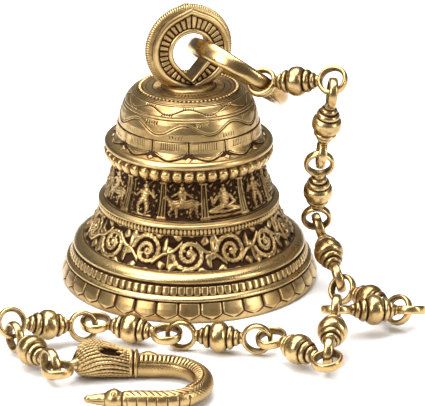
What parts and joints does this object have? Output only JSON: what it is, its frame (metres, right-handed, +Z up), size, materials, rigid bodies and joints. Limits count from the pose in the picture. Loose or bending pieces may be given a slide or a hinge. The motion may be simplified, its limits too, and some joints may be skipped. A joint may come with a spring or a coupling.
{
  "type": "hanging puja bell with chain and hook",
  "caption": "Cast brass puja bell with banded relief, a pointed crown loop and carrying ring, a beaded link chain and a bird-shaped hook, laid out beside the standing bell.",
  "frame": {"origin": "centre of the bell's mouth, on the plane of its rim", "axes": "+Z up along the bell's axis towards the crown loop; the front of the bell faces -Y; the chain leaves to +X"},
  "size_m": [0.2034, 0.2313, 0.1409],
  "materials": {
    "bell_brass": "antique polished cast brass, dark patina in the chased bands",
    "crown_brass": "antique polished cast brass, dark patina in the flutes",
    "inner_brass": "dull aged brass",
    "clapper_brass": "dull aged brass, worn bright where it strikes",
    "ring_brass": "antique polished brass",
    "chain_brass": "antique polished brass, dark patina between the bead rings",
    "hook_brass": "antique polished cast brass, dark patina in the feathers"
  },
  "bodies": {
    "root": {"bell_shell": "bell_brass", "crown_loop": "crown_brass", "crown_washer": "inner_brass", "crown_nut": "inner_brass", "clapper_eye_nut": "inner_brass"},
    "shackle": {"clapper_shackle": "inner_brass"},
    "clapper": {"clapper_stem": "clapper_brass", "clapper_ball": "clapper_brass"},
    "ring": {"carrying_ring": "ring_brass"},
    "link_01": {"chain_link_01": "chain_brass"},
    "link_02": {"chain_link_02": "chain_brass"},
    "link_03": {"chain_link_03": "chain_brass"},
    "link_04": {"chain_link_04": "chain_brass"},
    "link_05": {"chain_link_05": "chain_brass"},
    "link_06": {"chain_link_06": "chain_brass"},
    "link_07": {"chain_link_07": "chain_brass"},
    "link_08": {"chain_link_08": "chain_brass"},
    "link_09": {"chain_link_09": "chain_brass"},
    "link_10": {"chain_link_10": "chain_brass"},
    "link_11": {"chain_link_11": "chain_brass"},
    "link_12": {"chain_link_12": "chain_brass"},
    "hook": {"swan_hook": "hook_brass"}
  },
  "joints": [
    {"name": "ring_swing", "type": "hinge", "parent": "root", "child": "ring", "pos_m": [0.0019, 0.008, 0.1172], "axis": [-0.104, 0.9932, -0.052], "range_deg": [-115, 2]},
    {"name": "link_01_swing", "type": "hinge", "parent": "ring", "child": "link_01", "pos_m": [0.03517, -0.01811, 0.10679], "axis": [0.7423, 0.2912, -0.6034], "range_deg": [-36, 7]},
    {"name": "link_02_swing", "type": "hinge", "parent": "link_01", "child": "link_02", "pos_m": [0.06831, -0.03471, 0.10718], "axis": [0.9933, 0.0337, -0.1107], "range_deg": [-65, 7]},
    {"name": "link_03_swing", "type": "hinge", "parent": "link_02", "child": "link_03", "pos_m": [0.06407, -0.02452, 0.07228], "axis": [0.9933, 0.0337, -0.1107], "range_deg": [-65, 49]},
    {"name": "link_04_swing", "type": "hinge", "parent": "link_03", "child": "link_04", "pos_m": [0.06432, -0.00635, 0.02723], "axis": [0.9508, 0.1178, 0.2865], "range_deg": [-49, 65]},
    {"name": "link_05_swing", "type": "hinge", "parent": "link_04", "child": "link_05", "pos_m": [0.0726, -0.03889, 0.01314], "axis": [-0.9508, -0.1178, -0.2865], "range_deg": [-65, 55]},
    {"name": "link_06_swing", "type": "hinge", "parent": "link_05", "child": "link_06", "pos_m": [0.10011, -0.06943, 0.00944], "axis": [-0.6124, -0.6124, 0.5], "range_deg": [-65, 65]},
    {"name": "link_07_swing", "type": "hinge", "parent": "link_06", "child": "link_07", "pos_m": [0.06917, -0.08588, 0.01653], "axis": [0.9905, -0.1331, -0.0344], "range_deg": [-65, 65]},
    {"name": "link_08_swing", "type": "hinge", "parent": "link_07", "child": "link_08", "pos_m": [0.06414, -0.12175, 0.01036], "axis": [-0.9905, 0.1331, 0.0344], "range_deg": [-65, 65]},
    {"name": "link_09_swing", "type": "hinge", "parent": "link_08", "child": "link_09", "pos_m": [0.032, -0.101, 0.00851], "axis": [-0.1736, -0.9848, 0], "range_deg": [-65, 65]},
    {"name": "link_10_swing", "type": "hinge", "parent": "link_09", "child": "link_10", "pos_m": [-0.00424, -0.09461, 0.00783], "axis": [0.1736, 0.9848, 0], "range_deg": [-65, 65]},
    {"name": "link_11_swing", "type": "hinge", "parent": "link_10", "child": "link_11", "pos_m": [-0.04992, -0.08432, 0.00791], "axis": [-0.4074, 0.798, -0.4441], "range_deg": [-65, 65]},
    {"name": "link_12_swing", "type": "hinge", "parent": "link_11", "child": "link_12", "pos_m": [-0.08172, -0.0996, 0.00963], "axis": [0.866, 0.5, 0], "range_deg": [-65, 65]},
    {"name": "hook_swing", "type": "hinge", "parent": "link_12", "child": "hook", "pos_m": [-0.06343, -0.13127, 0.00927], "axis": [-0.866, -0.5, 0], "range_deg": [-65, 65]},
    {"name": "shackle_swing", "type": "hinge", "parent": "root", "child": "shackle", "pos_m": [0, 0, 0.07445], "axis": [0, 1, 0], "range_deg": [-12, 12]},
    {"name": "clapper_swing", "type": "hinge", "parent": "shackle", "child": "clapper", "pos_m": [0, 0, 0.0668], "axis": [1, 0, 0], "range_deg": [-24, 24]}
  ]
}
